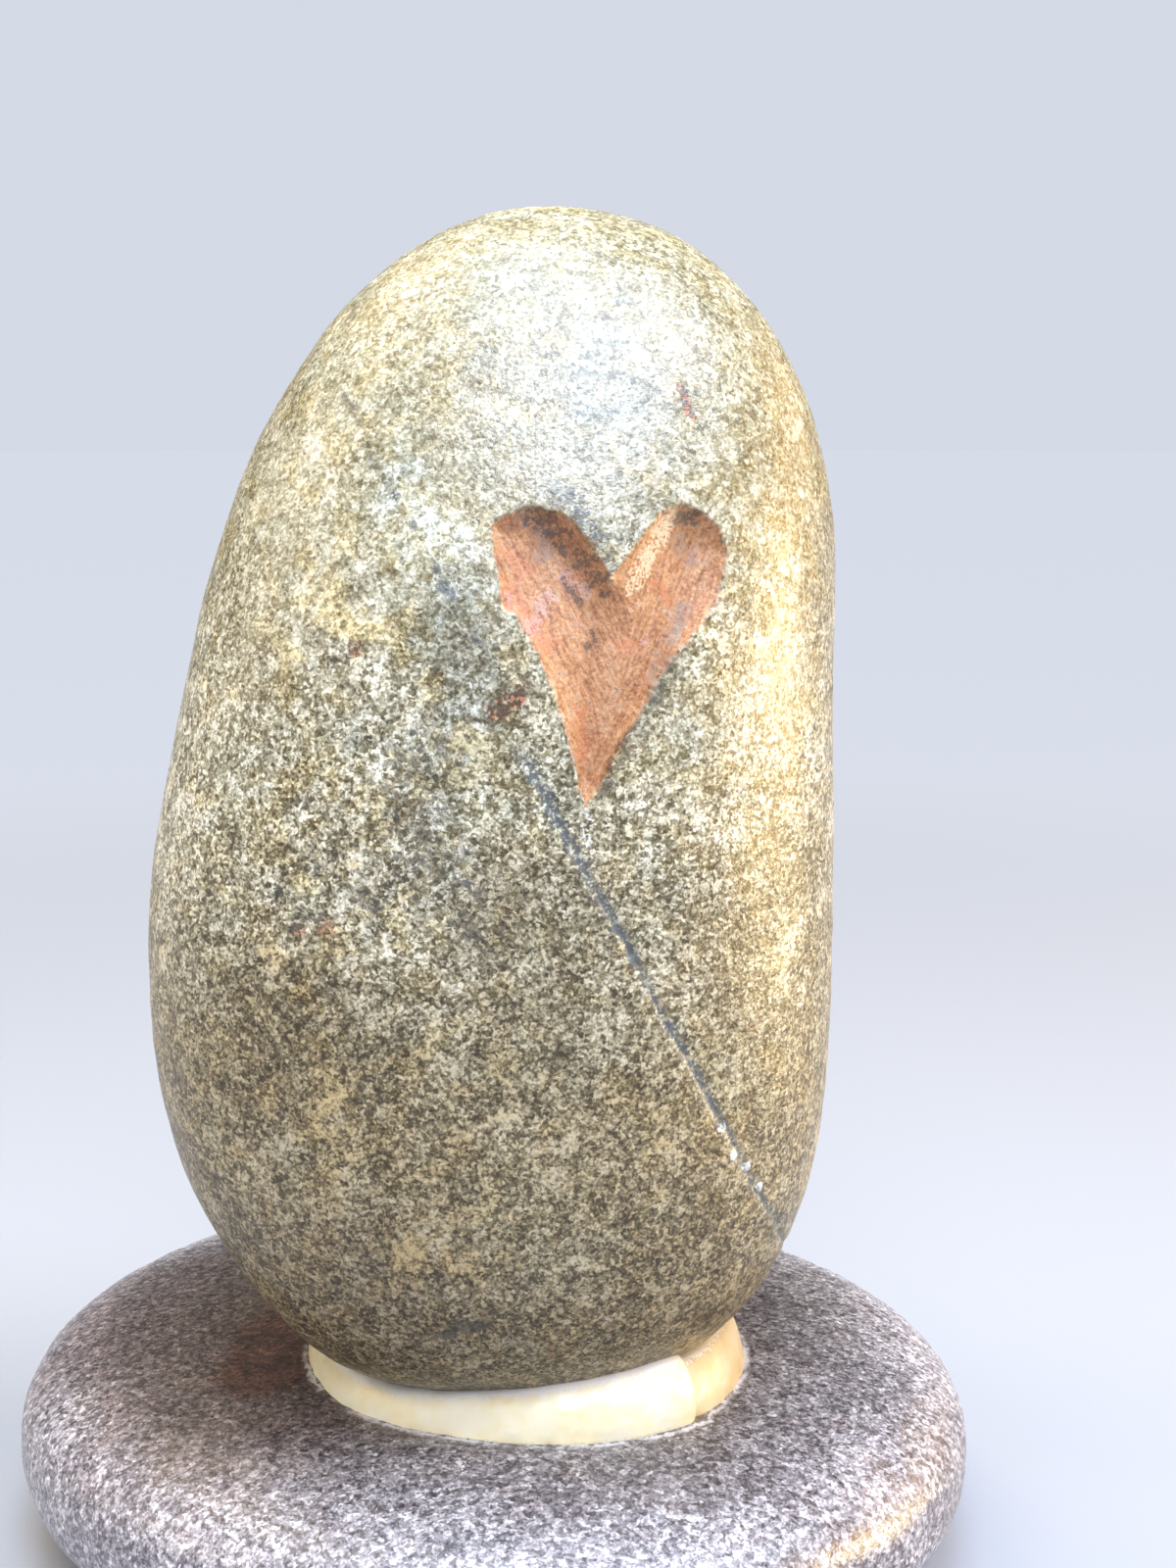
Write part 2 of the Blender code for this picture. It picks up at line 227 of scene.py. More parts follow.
class Finish:
    """A material built from nodes, reading the place on the piece in millimetres."""

    def __init__(self, name, constants):
        self.material = bpy.data.materials.new(name)
        self.material.use_nodes = True
        self.tree = self.material.node_tree
        self.shader = self.tree.nodes["Principled BSDF"]
        for socket, value in constants.items():
            self.shader.inputs[socket].default_value = value
        metres = self.add("ShaderNodeTexCoord", output="Object")
        self.place = self.vector("SCALE", metres, 1 / MM)

    def add(self, kind, settings=None, inputs=None, output=0):
        """Any node: its type, its settings, then the values or links of its sockets."""
        node = self.tree.nodes.new(kind)
        for name, value in (settings or {}).items():
            if name == "stops":
                self.set_stops(node.color_ramp, value)
            else:
                setattr(node, name, value)
        for name, value in (inputs or {}).items():
            if isinstance(value, Value):
                self.tree.links.new(value.socket, node.inputs[name])
            else:
                node.inputs[name].default_value = value
        return Value(self, node.outputs[output])

    def set_stops(self, ramp, stops):
        while len(ramp.elements) < len(stops):
            ramp.elements.new(1.0)
        for element, (position, colour) in zip(ramp.elements, stops):
            element.position = position
            element.color = (*colour, 1.0)

    def vector(self, operation, first, second):
        """A Vector Math node on a vector and a number or another vector."""
        other = "Scale" if operation == "SCALE" else 1
        return self.add("ShaderNodeVectorMath", {"operation": operation}, {0: first, other: second})

    def moved(self, place, offset):
        """A place shifted by a number of pattern steps."""
        return self.vector("ADD", place, tuple(offset * step for step in PATTERN_STEP))

    def noise(self, size, detail=2.0, roughness=0.5, offset=0.0, output="Fac", place=None):
        """Cloudy noise from 0 to 1 whose blobs are about this many millimetres across."""
        place = self.moved(place or self.place, offset)
        values = {"Vector": place, "Scale": 1 / size, "Detail": detail, "Roughness": roughness}
        return self.add("ShaderNodeTexNoise", None, values, output)

    def grains(self, size, offset=0.0, warp=None):
        """Packed grains this many millimetres across: each one's number, and the distance from its middle."""
        place = self.moved(self.place, offset)
        if warp:
            place = self.vector("ADD", place, warp)
        values = {"Vector": place, "Scale": 1 / size}
        number = self.add("ShaderNodeTexVoronoi", None, values, "Color")
        distance = Value(self, number.socket.node.outputs["Distance"])
        return self.add("ShaderNodeSeparateColor", None, {0: number}, 0), distance

    def broken(self, mask, *noises, low=0.4, high=0.65):
        """A mark whose edge breaks up along the grain."""
        for noise_value, strength in noises:
            mask = mask + (noise_value - 0.5) * strength
        return self.rise(mask, low, high)

    def attribute(self, name):
        return self.add("ShaderNodeAttribute", {"attribute_name": name}, output="Fac")

    def rise(self, value, low, high):
        """A smooth step from 0 at low to 1 at high, or down again where low is above high."""
        settings = {"interpolation_type": "SMOOTHSTEP"}
        if low > high:
            return 1 - self.rise(value, high, low)
        return self.add("ShaderNodeMapRange", settings, {"Value": value, "From Min": low, "From Max": high})

    def blend(self, share, under, over, kind="MIX"):
        """One colour over another, or multiplied by it where the kind says so."""
        settings = {"data_type": "RGBA", "blend_type": kind}
        values = {0: share, 6: self.solid(under), 7: self.solid(over)}
        return self.add("ShaderNodeMix", settings, values, 2)

    def solid(self, colour):
        return colour if isinstance(colour, Value) else (*colour, 1.0)

    def ramp(self, value, *stops):
        return self.add("ShaderNodeValToRGB", {"stops": stops}, {0: value}, "Color")

    def bump(self, height, distance_mm, strength):
        values = {"Height": height, "Distance": distance_mm * MM, "Strength": strength}
        return self.add("ShaderNodeBump", None, values, "Normal")

    def part(self, vector, axis):
        return self.add("ShaderNodeSeparateXYZ", None, {0: vector}, axis)

    def wobble(self, size, reach):
        """Small shifts of a place in millimetres, which make grains irregular."""
        push = self.vector("SUBTRACT", self.noise(size, 2.0, 0.5, 1.0, "Color"), (0.5, 0.5, 0.5))
        return self.vector("SCALE", push, reach)

    def drive(self, **sockets):
        """Feed the shader's own sockets."""
        for name, value in sockets.items():
            self.tree.links.new(value.socket, self.shader.inputs[name.replace("_", " ").title()])
        return self.material


def between(values, place):
    """Catmull-Rom value at a place counted in steps along a list of numbers or vectors."""
    last = len(values) - 1
    start = min(max(int(place), 0), last - 1)
    part = place - start
    before = values[start - 1] if start > 0 else 2 * values[0] - values[1]
    after = values[start + 2] if start + 2 <= last else 2 * values[last] - values[last - 1]
    slope_start = (values[start + 1] - before) * 0.5
    slope_end = (after - values[start]) * 0.5
    bend = values[start] * (2 * part ** 3 - 3 * part ** 2 + 1)
    bend += values[start + 1] * (3 * part ** 2 - 2 * part ** 3)
    bend += slope_start * (part ** 3 - 2 * part ** 2 + part)
    return bend + slope_end * (part ** 3 - part ** 2)


def round_profile(direction, foot_power, crown_power):
    """Level from -1 at the foot to 1 at the crown, and spread from 0 on the axis to 1 at the rim."""
    flat = math.hypot(direction.x, direction.y)
    power = foot_power if direction.z < 0 else crown_power
    reach = (flat ** power + abs(direction.z) ** power) ** (-1 / power)
    return direction.z * reach, flat * reach


def worn(direction):
    """Share of its reach that wear has left a stone in one direction from its middle."""
    return 1 - DENT_SHARE * (0.5 + 0.5 * noise.noise(direction * DENTS_ACROSS))


def rock_point(direction):
    """Place on the standing rock that lies in one direction from its middle."""
    level, spread = round_profile(direction, ROCK_FOOT_POWER, ROCK_CROWN_POWER)
    up = (level + 1) / 2
    across = Vector((direction.x, direction.y))
    across = across.normalized() if across.length > 1e-9 else Vector((1, 0))
    squared = (abs(across.x) ** ROCK_PLAN_POWER + abs(across.y) ** ROCK_PLAN_POWER) ** (-1 / ROCK_PLAN_POWER)
    sides = ROCK_LEFT if across.x < 0 else ROCK_RIGHT
    spread *= worn(direction)
    half_width = between(sides, up * (len(sides) - 1))
    half_depth = ROCK_FRONT if across.y < 0 else ROCK_BACK
    axis_x = ROCK_AXIS_X_FOOT + (ROCK_AXIS_X_CROWN - ROCK_AXIS_X_FOOT) * up
    x = axis_x + half_width * across.x * squared * spread
    y = ROCK_AXIS_Y + half_depth * across.y * squared * spread
    return Vector((x, y, ROCK_FOOT + ROCK_HEIGHT * up))


def base_point(direction):
    """Place on the flat pebble that lies in one direction from its middle."""
    level, spread = round_profile(direction, BASE_LOW_POWER, BASE_TOP_POWER)
    turn = math.atan2(direction.y, direction.x) % math.tau
    wrapped = BASE_REACH[-2:] + BASE_REACH + BASE_REACH[:3]
    reach = between(wrapped, 2 + turn / math.tau * len(BASE_REACH)) * spread * worn(direction)
    if level > 0:
        z = BASE_RIM_HEIGHT + (BASE_HEIGHT - BASE_RIM_HEIGHT) * level
    else:
        z = BASE_RIM_HEIGHT + (BASE_RIM_HEIGHT + BASE_WORN_OFF) * level
    return Vector((reach * math.cos(turn), reach * math.sin(turn), z))


def rope_bulk(place):
    """Reach, width and height of the putty rope at a place counted along its lists."""
    last = len(ROPE_REACHES) - 1
    return [between(values, min(place, last)) for values in (ROPE_REACHES, ROPE_WIDTHS, ROPE_HEIGHTS)]


def smooth_run(corners, spacing):
    """Points along a smooth curve through the given ones, without the last."""
    knots = [Vector(corner) for corner in corners]
    length = sum((b - a).length for a, b in zip(knots, knots[1:]))
    count = max(1, round(length / spacing))
    return [between(knots, (len(knots) - 1) * step / count) for step in range(count)]


def heart_outline():
    """The heart's closed outline in millimetres, its first point repeated at the end."""
    nick_top, nick_foot = HEART_NICK
    points = smooth_run((HEART_CLEFT, *HEART_LEFT_LOBE, nick_top), HEART_POINT_SPACING)
    points += smooth_run((nick_top, nick_foot), HEART_POINT_SPACING)
    points += smooth_run((nick_foot, *HEART_LEFT_FLANK, HEART_TIP), HEART_POINT_SPACING)
    points += smooth_run((HEART_TIP, *HEART_RIGHT_SIDE, HEART_CLEFT), HEART_POINT_SPACING)
    return np.array(points + points[:1])


HEART = heart_outline()


def away_from(path, places):
    """Distance from each place to a path of straight runs, all as rows of two or three numbers."""
    path = np.array(path, float)
    start = path[:-1]
    run = path[1:] - start
    nearest = np.full(len(places), np.inf)
    for first, line in zip(start, run):
        offset = places - first
        part = np.clip(offset @ line / (line @ line), 0, 1)
        nearest = np.minimum(nearest, np.linalg.norm(offset - part[:, None] * line, axis=1))
    return nearest


def within(path, places):
    """Which places a closed path goes round."""
    crossings = np.zeros(len(places), int)
    for (x0, z0), (x1, z1) in zip(path[:-1], path[1:]):
        spans = (z0 > places[:, 1]) != (z1 > places[:, 1])
        if z0 != z1:
            crossings += spans & (places[:, 0] < x0 + (places[:, 1] - z0) / (z1 - z0) * (x1 - x0))
    return crossings % 2 == 1


def into_heart(places):
    """How far inside the heart's outline each place in millimetres is, and negative outside it."""
    flat = places[:, (0, 2)] - (HEART_X, HEART_Z)
    distance = away_from(HEART, flat)
    distance = np.where(within(HEART, flat), distance, -distance)
    return np.where(places[:, 1] < ROCK_AXIS_Y / MM, distance, BEHIND_THE_FRONT)


def vein_offset(places):
    """Distance of each place from the sheet of the vein, negative on its left."""
    return places @ np.array(VEIN_FACING) - VEIN_LEVEL


def open_vein(places):
    """Where the vein shows: 1 over the middle of the front, and nothing at the crown, foot and back."""
    return fade(np.abs(places[:, 2] - VEIN_MIDDLE_Z), *VEIN_HALF_HEIGHTS) * (places[:, 1] < VEIN_BACKMOST_Y)


def cloud(places, size, seed=0.0, detail=0):
    """Noise from -1 to 1 at each place in millimetres, with blobs of about this size."""
    shift = Vector((seed, seed * 1.7, -seed))
    if detail:
        return np.array([noise.fractal(Vector(p) / size + shift, 1.0, 2.0, detail) for p in places])
    return np.array([noise.noise(Vector(p) / size + shift) for p in places])


def pits(places, size, seed, share):
    """Round hollows from 0 to 1, one in a share of the cells of this size."""
    deep = np.zeros(len(places))
    for index, place in enumerate(places):
        distances, points = noise.voronoi(Vector(place) / size + Vector((seed, 0, 0)))
        chance = noise.cell(points[0] * 7.3)
        if chance < share:
            deep[index] = max(0.0, 1 - distances[0] / 0.45)
    return deep


def fade(values, near, far):
    """1 below near, 0 above far, and smooth in between."""
    part = np.clip((far - values) / (far - near), 0, 1)
    return part * part * (3 - 2 * part)


def only_where(chosen, rows, values_of):
    """A number for each row, worked out for the chosen rows alone and 0 for the others."""
    values = np.zeros(len(chosen))
    values[chosen] = values_of(rows[chosen])
    return values


def places_of(bm):
    """Every vertex's place in millimetres."""
    return np.array([vert.co for vert in bm.verts]) / MM


def refine(bm, form, wanted):
    """Halve the edges of a unit sphere where the stone that it will become needs finer faces."""
    places = np.array([form(vert.co) for vert in bm.verts]) / MM
    chosen = wanted(places)
    bm.verts.index_update()
    edges = [edge for edge in bm.edges if chosen[edge.verts[0].index] and chosen[edge.verts[1].index]]
    bmesh.ops.subdivide_edges(bm, edges=edges, cuts=1, use_grid_fill=True)
    bmesh.ops.triangulate(bm, faces=[face for face in bm.faces if len(face.verts) > 3])
    for vert in bm.verts:
        vert.co.normalize()


def swell(bm, height):
    """Move every vertex along its normal by a height in millimetres."""
    bm.normal_update()
    moves = [vert.normal * rise * MM for vert, rise in zip(bm.verts, height)]
    for vert, move in zip(bm.verts, moves):
        vert.co += move


def piece(bm, name, finish, masks=None):
    """A finished piece from a bmesh, with one number for each vertex in each mask."""
    bmesh.ops.recalc_face_normals(bm, faces=bm.faces[:])
    mesh = bpy.data.meshes.new(name)
    bm.to_mesh(mesh)
    bm.free()
    for label, values in (masks or {}).items():
        mesh.attributes.new(label, "FLOAT", "POINT").data.foreach_set("value", np.asarray(values, np.float32))
    mesh.shade_smooth()
    mesh.materials.append(finish)
    made = bpy.data.objects.new(name, mesh)
    bpy.context.collection.objects.link(made)
    return made


# Marks on the rock's front in millimetres: paths, and rows of single places for pits and crystals
BLUE_BAND = (
    (-5.6, -33.6, 118.4), (-3.3, -35.4, 113.5), (-0.2, -37.0, 106.4), (0.8, -38.0, 99.3), (1.2, -38.3, 96.0),
)
DARK_ABOVE_HEART = ((8.6, -34.7, 118.4), (10.2, -35.2, 116.1), (11.6, -35.6, 113.8), (12.7, -35.8, 111.2))
DARK_BESIDE_VEIN = ((-5.7, -37.9, 93.0), (-3.0, -38.3, 85.0), (1.5, -38.6, 79.0))
BESIDE_HEART = ((18.9, -35.2, 103.7), (15.8, -37.1, 97.8), (13.6, -37.7, 94.1), (12.4, -38.0, 91.4))
UPPER_CREVICE = ((-12.2, -26.7, 127.8), (-10.2, -29.9, 124.1), (-8.5, -32.1, 120.5), (-5.7, -34.3, 116.1))
SEAM = (
    (-9.1, -31.4, 122.0), (-7.4, -33.2, 119.2), (-5.8, -34.4, 116.5), (-3.6, -35.5, 113.2),
    (-2.0, -36.4, 109.9), (0.3, -37.2, 106.1), (2.3, -37.8, 101.9),
)
RUST_MARK = ((2.6, -38.0, 98.6), (3.9, -38.1, 99.7), (5.6, -38.0, 100.6))
RUST_PITS = ((-10.4, -35.6, 104.1), (-16.5, -35.8, 77.4), (-13.7, -36.7, 78.3))
DARK_PITS = ((-18.3, -35.0, 80.9), (14.2, -26.2, 136.2), (17.3, -36.9, 81.8), (15.0, -37.4, 75.8))
LONG_HOLLOW = ((-11.8, -37.4, 81.4), (-10.1, -37.5, 80.8), (-8.3, -37.6, 80.2))
FOOT_CREVICE = ((-4.2, -34.4, 35.9), (-3.2, -34.6, 36.4), (-1.4, -34.9, 37.2), (1.0, -35.2, 37.6))
SCRATCH = ((19.9, -29.2, 128.2), (20.2, -29.6, 127.0), (20.7, -30.1, 125.5))
# Each pale cluster's middle, reach and strength
PALE_CLUSTERS = (
    ((0.3, -38.3, 94.7), 3.0, 1.0), ((-14.2, -36.7, 62.3), 2.6, 0.8), ((-13.4, -36.5, 54.4), 2.9, 0.8),
    ((-5.0, -36.9, 45.6), 3.2, 0.8), ((-19.6, -34.7, 60.7), 1.6, 0.7), ((-14.7, -36.2, 83.2), 2.6, 0.7),
    ((-22.6, -32.1, 51.8), 2.0, 0.6), ((2.8, -38.5, 64.8), 1.8, 0.6), ((11.1, -34.9, 39.8), 2.0, 0.4),
    ((-23.2, -32.3, 81.4), 2.4, 0.6), ((-9.0, -37.4, 88.0), 3.4, 0.5), ((-17.0, -35.4, 71.0), 2.4, 0.5),
    ((-14.0, -33.0, 108.0), 7.0, 0.5), ((-4.0, -34.2, 116.0), 4.5, 0.6), ((-14.0, -36.8, 58.0), 3.4, 0.8),
)
CRYSTALS = ((24.1, -33.2, 57.2), (25.4, -32.3, 54.0), (26.8, -31.0, 52.4), (28.2, -29.4, 49.8))
OVERRUN = ((11.1, -38.2, 89.4), (10.9, -38.3, 87.4), (11.1, -38.3, 84.6))
WORN_TOP = ((2.8, -14.3, 145.4), (7.2, -13.1, 146.0))
ROUGH_PATCH = ((-8.9, -36.3, 102.7), (-8.9, -37.2, 93.6), (-11.8, -37.0, 84.3), (-13.9, -36.7, 76.7))

# Stains: path, strength, how far small bumps and long waves move the edge, and where it fades
DARK_STAINS = (
    (DARK_ABOVE_HEART, 0.54, 0.8, 0.0, (0.2, 2.8)),
    (BESIDE_HEART, 0.56, 0.8, 0.0, (0.3, 2.2)),
    (DARK_BESIDE_VEIN, 0.46, 0.0, 2.0, (1.0, 8.0)),
)
# Cracks: path, how far small bumps move the edge, depth and its reach, strength of the dark and its reach
CRACKS = (
    (UPPER_CREVICE, 0.25, 0.12, (0.0, 0.7), 0.60, (0.1, 0.9)),
    (LONG_HOLLOW, 0.30, 0.22, (0.1, 1.2), 0.62, (0.1, 1.7)),
    (FOOT_CREVICE, 0.30, 0.20, (0.1, 1.2), 0.62, (0.1, 1.7)),
)

# Marks on the base pebble
BASE_SCRATCH = ((-1.7, -34.1, 23.2), (-0.8, -36.6, 23.0), (0.5, -40.0, 22.4))
# A painted reddish reflection beside the putty
RED_REFLECTION = ((-20.0, -2.0, 24.2), (-23.0, -8.0, 24.0), (-23.5, -15.0, 24.0))
# Painted warm shade on the left of the pebble
SHADED_LEFT_SIDE = ((-36.0, 4.0, 22.5), (-26.0, -6.0, 24.0), (-24.0, -16.0, 24.0))

# Strokes in the heart, of paint and of painted shade and highlight, each a path in millimetres from its middle
# and a half width
# Dark brown paint, and painted shade along the left lobe's shaded wall, the cleft, the valleys and the lower
# right wall
DARK_PAINT_AND_SHADE = (
    (((-6.6, 13.2), (-4.6, 11.6), (-2.8, 9.6)), 1.5), (((-2.8, 9.6), (-1.0, 7.4)), 1.05),
    (((-1.0, 7.4), (-0.3, 6.2)), 0.6), (((-4.2, 7.4), (-2.6, 5.0)), 0.4),
    (((-1.5, 2.2), (-1.3, 1.2)), 0.8), (((6.8, 12.9), (7.9, 13.0)), 0.9),
    (((5.6, -1.4), (3.2, -5.6), (1.0, -8.6), (-0.4, -11.0)), 0.55),
)
# Cream paint that is a painted highlight on the lit upper-left wall of the right lobe
CREAM_PAINT_AND_HIGHLIGHT = (
    (((5.8, 12.8), (4.7, 11.2)), 1.25), (((4.2, 10.2), (3.4, 9.0)), 1.0), (((3.0, 8.0), (2.6, 6.6)), 1.05),
)
LILAC_PAINT = (
    (((-3.9, 7.6), (-2.6, 6.6)), 0.8), (((-6.4, 5.0), (-5.6, 5.8)), 0.9), (((-7.6, 3.0), (-7.4, 3.0)), 1.1),
    (((-9.8, 6.0), (-9.4, 5.8)), 0.5), (((3.4, 1.6), (3.6, 1.7)), 0.5),
)
# Greyish paint, partly painted shade on the heart's lower right wall and its left flank
COOL_PAINT_AND_SHADE = (
    (((7.4, 4.6), (6.2, 1.8), (4.8, -1.0), (3.9, -3.4)), 0.75), (((6.0, 11.4), (7.8, 9.4)), 1.1),
    (((-6.4, 12.4), (-6.2, 9.6)), 0.9), (((-9.4, 12.0), (-7.6, 13.2)), 0.7),
    (((-6.5, -1.2), (-4.5, -6.5), (-3.2, -11.2)), 0.5),
)
RED_PAINT = (
    (((-9.6, 6.8), (-8.4, 4.4), (-6.4, 1.8)), 1.4), (((-9.4, 9.6), (-7.6, 8.4)), 1.1),
    (((1.6, 1.4), (2.8, 1.0)), 0.9), (((-2.6, -4.6), (-2.4, -9.0)), 0.8), (((4.4, 7.0), (6.0, 5.4)), 0.8),
)
# Coats over the brushed paint, from the first to the last, some of them painted shade and highlight: mask,
# strokes, strength and colour
PAINT_COATS = (
    ("paint_red", RED_PAINT, 0.55, (0.580, 0.165, 0.058)),
    ("paint_cool", COOL_PAINT_AND_SHADE, 0.68, (0.250, 0.185, 0.150)),
    ("paint_lilac", LILAC_PAINT, 0.48, (0.560, 0.380, 0.420)),
    ("paint_cream", CREAM_PAINT_AND_HIGHLIGHT, 0.85, (0.880, 0.690, 0.450)),
    ("paint_dark", DARK_PAINT_AND_SHADE, 0.88, (0.080, 0.042, 0.022)),
)


def strokes(flat, paths, ragged):
    """Strength from 0 to 1 of a set of paint strokes at places in the heart."""
    strength = np.zeros(len(flat))
    for path, width in paths:
        distance = away_from(path, flat) + ragged * min(width, 1.0) * 0.55
        strength = np.maximum(strength, fade(distance, width * 0.3, width * 1.5))
    return strength


def tool_streaks(flat):
    """Fine streaks from -1 to 1 that run down each lobe, as the carving tool and the brush left them."""
    marks = []
    for along, across in (((0.42, -0.91), (0.91, 0.42)), ((-0.37, -0.93), (0.93, -0.37))):
        sideways = flat @ np.array(across) / 0.5
        lengthways = flat @ np.array(along) / 5.0
        stretched = np.stack([sideways, lengthways, flat[:, 0] * 0], axis=1)
        marks.append(cloud(stretched, 1.0, 3.1) + 0.6 * cloud(stretched, 0.45, 8.2))
    on_left = away_from(LEFT_VALLEY, flat) < away_from(RIGHT_VALLEY, flat)
    return np.where(on_left, *marks)


def carve(inside, flat, streak):
    """Depth of the heart's carving in millimetres: a step at the edge, then slopes down to two valleys."""
    to_valley = np.minimum(away_from(LEFT_VALLEY, flat), away_from(RIGHT_VALLEY, flat))
    within_edge = np.maximum(inside, 0)
    slope = within_edge / (within_edge + to_valley + 0.05)
    depth = EDGE_STEP * (1 - np.exp(-within_edge / EDGE_STEP_WIDTH))
    depth += VALLEY_DEPTH * (1 - (1 - slope) ** VALLEY_SLOPE_POWER)
    depth += STREAK_DEPTH * np.minimum(within_edge, 1) * streak
    return np.where(inside > 0, depth, 0)


def hair(finish, across_x, across_z, offset):
    """Hair-fine streaks on the front, whose direction is square to the given one."""
    x, z = finish.part(finish.place, "X"), finish.part(finish.place, "Z")
    across = (x * across_x + z * across_z) * 3.3
    along = (z * across_x - x * across_z) * 0.50
    place = finish.add("ShaderNodeCombineXYZ", None, {0: across, 1: along, 2: offset})
    return finish.noise(1.0, 3.0, 0.65, place=place)


def sandy(finish, **coarser):
    """The patterns of a stone's skin: powder and two sizes of packed sand, besides the coarser ones given."""
    warp = finish.wobble(0.6, 0.7)
    sand, sand_middle = finish.grains(SAND_MM, 2.0, warp)
    silt, _ = finish.grains(SILT_MM, 6.0, warp)
    fine = finish.noise(0.30, 2.0, 0.6)
    return SimpleNamespace(fine=fine, sand=sand, sand_middle=sand_middle, silt=silt, warp=warp, **coarser)


def paint_in_heart(finish, stone, skin):
    """Worn orange-brown paint, brushed along the lobes, with painted shade and highlight on its carved walls,
    and where it covers the stone.
    """
    fine, grain = skin.fine, skin.grain
    rise, blend = finish.rise, finish.blend
    inside, left_lobe = finish.attribute("inside"), finish.attribute("left_lobe")
    left_hair, right_hair = hair(finish, 0.91, 0.42, 2.0), hair(finish, 0.93, -0.37, 5.0)
    brushed = right_hair + (left_hair - right_hair) * left_lobe
    coat = finish.noise(2.4, 4.0, 0.62, 21.0)
    tone = brushed * 0.64 + fine * 0.46 + coat * 0.40 + grain * 0.32 + skin.silt * 0.12 - 0.455
    paint = finish.ramp(tone, *PAINT_TONES)
    noises = ((coat, 1.3), (grain, 1.9), (brushed, 1.2), (fine, 1.8))
    for name, _, strength, colour in PAINT_COATS:
        mark = finish.broken(finish.attribute(name) * 0.60, *noises, low=0.20, high=0.76)
        paint = blend(mark * strength, paint, colour)
    worn_through = rise(grain + fine * 0.8 - inside * 0.10, 0.98, 1.12)
    paint = blend(worn_through * 0.5, paint, stone)
    ragged_edge = inside + (fine - 0.5) * 1.0 + (grain - 0.5) * 1.5
    shaded = rise(ragged_edge, -0.45, -0.05) * rise(ragged_edge, 0.25, 0.0)
    return blend(shaded * 0.35, paint, (0.20, 0.11, 0.06)), rise(ragged_edge, -0.12, 0.22)


def sandstone(finish, skin):
    """Olive sandstone with yellow crusts and a blue-grey band, with painted shade at the foot and low left and
    painted light at the crown and low right.
    """
    noise_of, rise, blend, broken = finish.noise, finish.rise, finish.blend, finish.broken
    clump, cluster, grain, crust = skin.clump, skin.cluster, skin.grain, skin.crust
    band = finish.attribute("band")
    # Painted sky sheen where the blue band runs high up
    band_sheen = rise(skin.up, 106.0, 115.0)
    crisp = 1.10 + skin.rough * 0.05 - skin.polished * 0.52
    tone = (skin.sand * 0.16 + skin.silt * 0.32 + skin.fine * 0.66 - 0.57) * crisp
    soft = grain * 0.32 + clump * 0.28 + cluster * 0.24 + skin.patch * 0.14 - 0.49
    tone = tone + soft * (1.0 - skin.polished * 0.25) + skin.rough * (clump - 0.5) * 0.15
    tone = tone + (crust - 0.2) * 0.10 + crust * (grain - 0.5) * 0.40
    tone = tone + 0.510 + skin.pale * 0.04 + band * (band_sheen - 0.5) * 0.08
    stone = finish.ramp(tone, *SANDSTONE_TONES)

    low_left_shade = rise(skin.level, 66.0, 40.0) * rise(skin.across, 8.0, -12.0) * rise(skin.across, -34.0, -20.0)
    low_right_light = rise(skin.level, 96.0, 62.0) * rise(skin.across, 21.0, 34.0)
    yellow = rise(noise_of(3.4, 3.0, 0.62, 11.0) + skin.pale * 0.12, 0.46, 0.64)
    yellow = yellow * (0.42 + crust * 0.25 + skin.polished * 0.08 + skin.rough * 0.22)
    cool = rise(noise_of(7.0, 3.0, 0.55, 14.0), 0.50, 0.68)
    blue = broken(band, (cluster, 1.0), (clump, 1.4), (grain, 1.2), low=0.15, high=1.0)
    for share, tint in (
        # Painted shade lower down and painted cool light towards the crown, over the whole stone
        (1.0, blend(rise(skin.level, 60.0, 92.0), (0.665, 0.610, 0.515), (1.09, 1.13, 1.22))),
        # Painted shade on the low left
        (low_left_shade * 0.8, (0.78, 0.74, 0.72)),
        # Painted light on the low right
        (low_right_light, (1.14, 1.20, 1.28)),
        # Painted shade at the foot, where the rock sits in the putty
        (rise(skin.up, 48.0, 32.0), (0.84, 0.82, 0.80)),
        (yellow, (1.02, 0.88, 0.56)),
        (cool * 0.45, (0.85, 0.94, 1.04)),
        # The band's upper part is painted paler and bluer: a painted sky sheen
        (blue * 0.85, blend(band_sheen, (0.72, 0.77, 0.85), (1.04, 1.16, 1.38))),
    ):
        stone = blend(share, stone, tint, "MULTIPLY")
    seam = broken(finish.attribute("seam"), (clump, 2.6), (grain, 1.6), (skin.fine, 0.8), low=0.62, high=0.92)
    return blend(seam * 0.72, stone, (0.040, 0.056, 0.084))


def specks(finish, skin, stone):
    """Dark grains and rust specks all over, then the rusty, dark and white marks in their own places."""
    rise, blend, broken = finish.rise, finish.blend, finish.broken
    fine, grain = skin.fine, skin.grain
    dark_pick, dark_middle = finish.grains(0.95, 2.7, skin.warp)
    dark_grain = rise(dark_pick, 0.86, 0.87) * rise(dark_middle + (fine - 0.5) * 0.8, 0.50, 0.25)
    stone = blend(dark_grain * (0.40 + skin.rough * 0.20), stone, (0.055, 0.050, 0.035))
    rust_pick, rust_middle = finish.grains(6.5, 4.0, finish.vector("SCALE", skin.warp, 3.0))
    rust_spot = rise(rust_middle, 0.28, 0.0) * rise(rust_pick, 0.84, 0.86) * 0.6
    stone = blend(broken(rust_spot, (grain, 1.4), (fine, 0.9)) * 0.7, stone, (0.24, 0.115, 0.045))
    rust_colour = blend(rise(skin.silt, 0.68, 0.80), (0.085, 0.038, 0.020), (0.40, 0.120, 0.034))
    for name, by_grain, by_powder, strength, colour in (
        ("rust", 1.8, 1.4, 0.88, rust_colour),
        ("dark", 1.9, 1.5, 0.78, (0.050, 0.046, 0.038)),
        ("white", 1.6, 1.2, 0.90, (0.86, 0.88, 0.86)),
    ):
        mark = broken(finish.attribute(name), (grain, by_grain), (fine, by_powder))
        stone = blend(mark * strength, stone, colour)
    return stone


